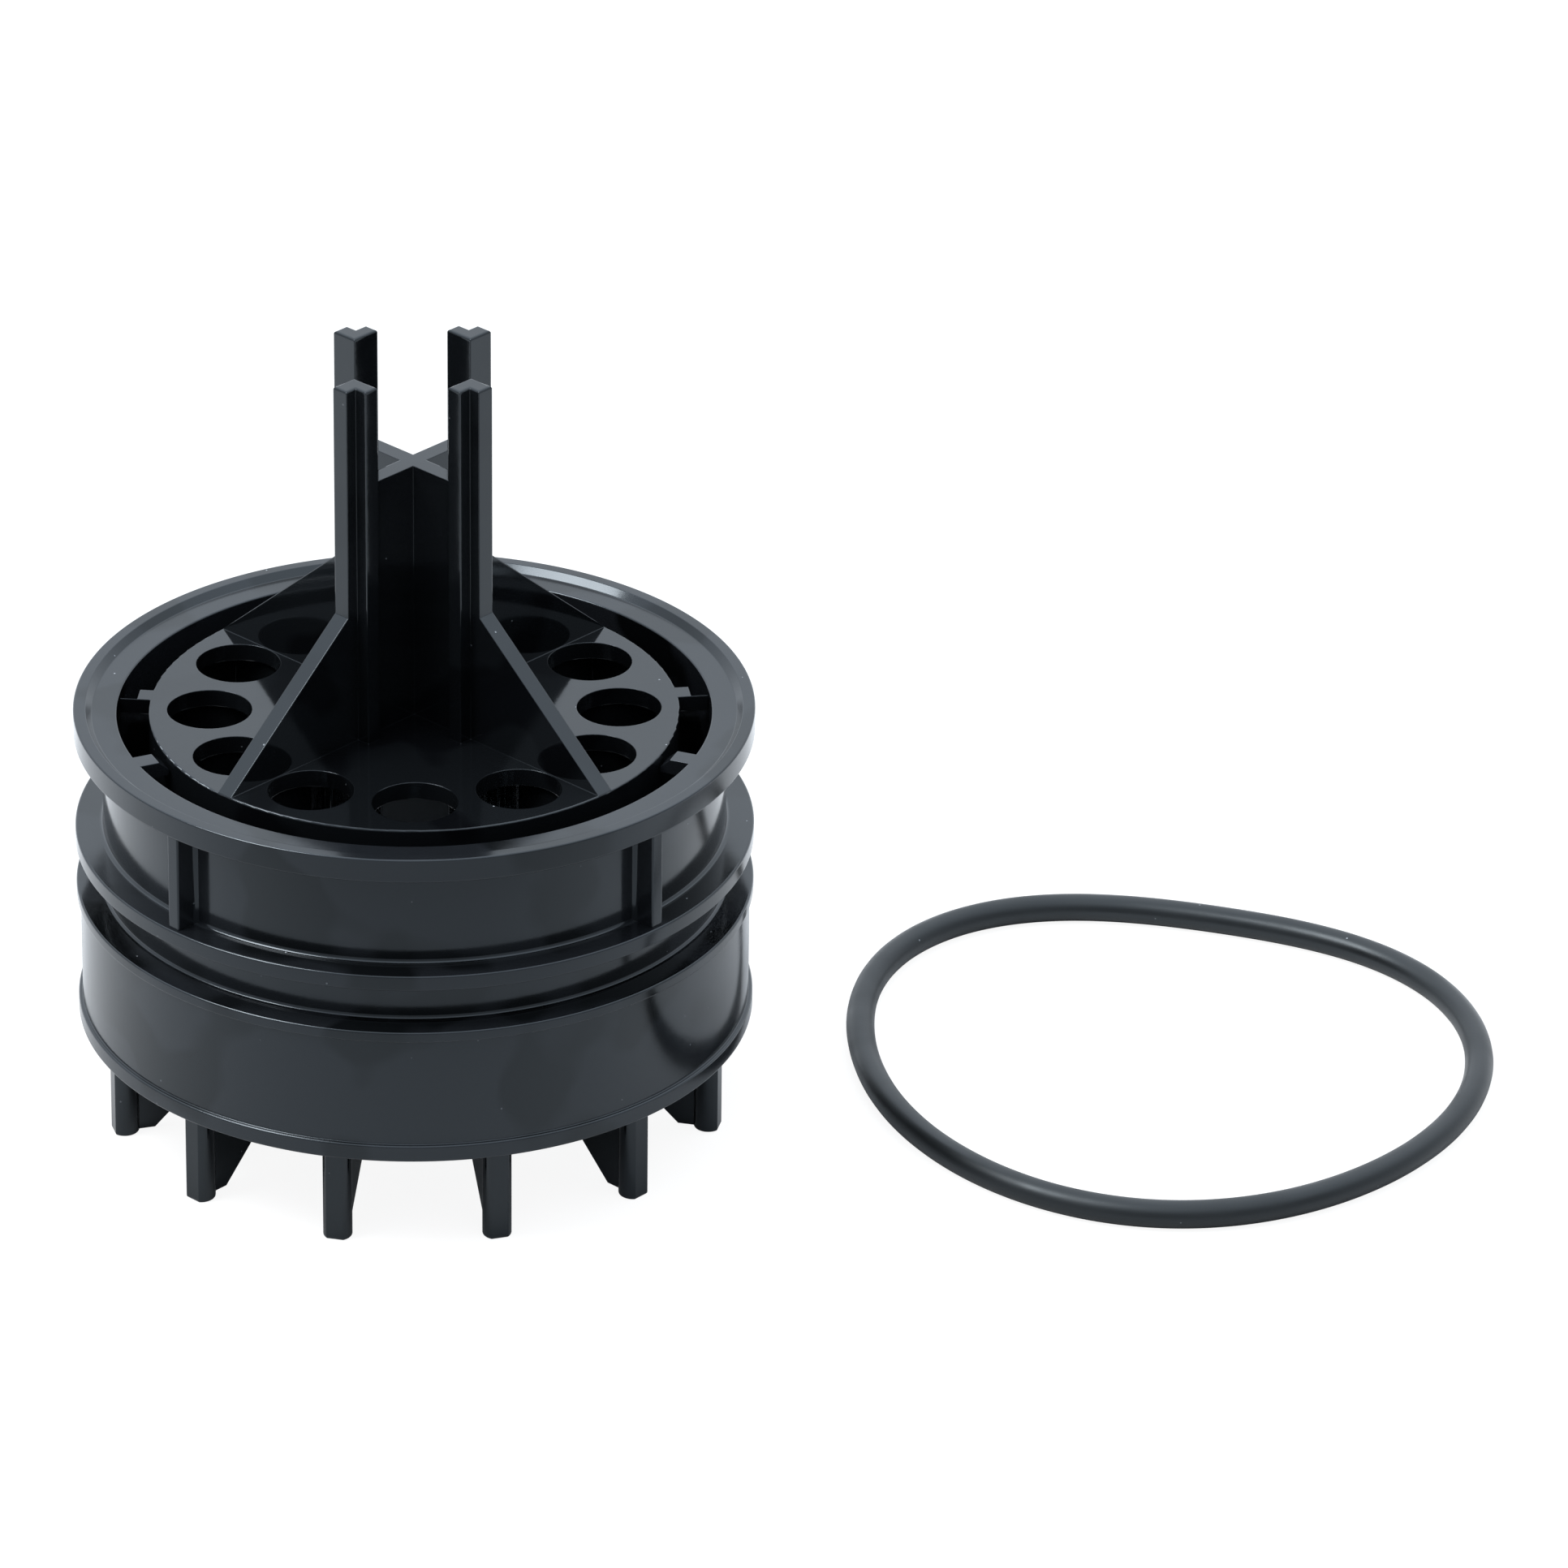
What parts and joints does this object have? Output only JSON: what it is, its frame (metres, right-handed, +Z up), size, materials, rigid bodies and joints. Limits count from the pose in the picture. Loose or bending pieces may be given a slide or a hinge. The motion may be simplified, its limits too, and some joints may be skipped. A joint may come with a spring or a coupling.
{
  "type": "perforated flow insert",
  "caption": "Round flow insert with a grooved, flanged collar over a perforated core with a pronged cross stem and web legs, and a loose seal ring beside it.",
  "frame": {"origin": "on the body's axis, level with the top of the collar's raised rim", "axes": "+Z up along the stem, +X from the body towards the loose ring, +Y to the back"},
  "size_m": [0.1778, 0.0882, 0.1012],
  "materials": {
    "moulded_black": "semi-gloss injection moulding",
    "seal_rubber": "satin moulded rubber"
  },
  "bodies": {
    "core": {"flow_core": "moulded_black"},
    "collar": {"seal_collar": "moulded_black"},
    "ring": {"seal_ring": "seal_rubber"}
  },
  "joints": [
    {"name": "collar_lift", "type": "slide", "parent": "core", "child": "collar", "axis": [0, 0, 1], "range_m": [0, 0.09]},
    {"name": "ring_lift", "type": "slide", "parent": "core", "child": "ring", "axis": [0, 0, 1], "range_m": [0, 0.06]}
  ]
}
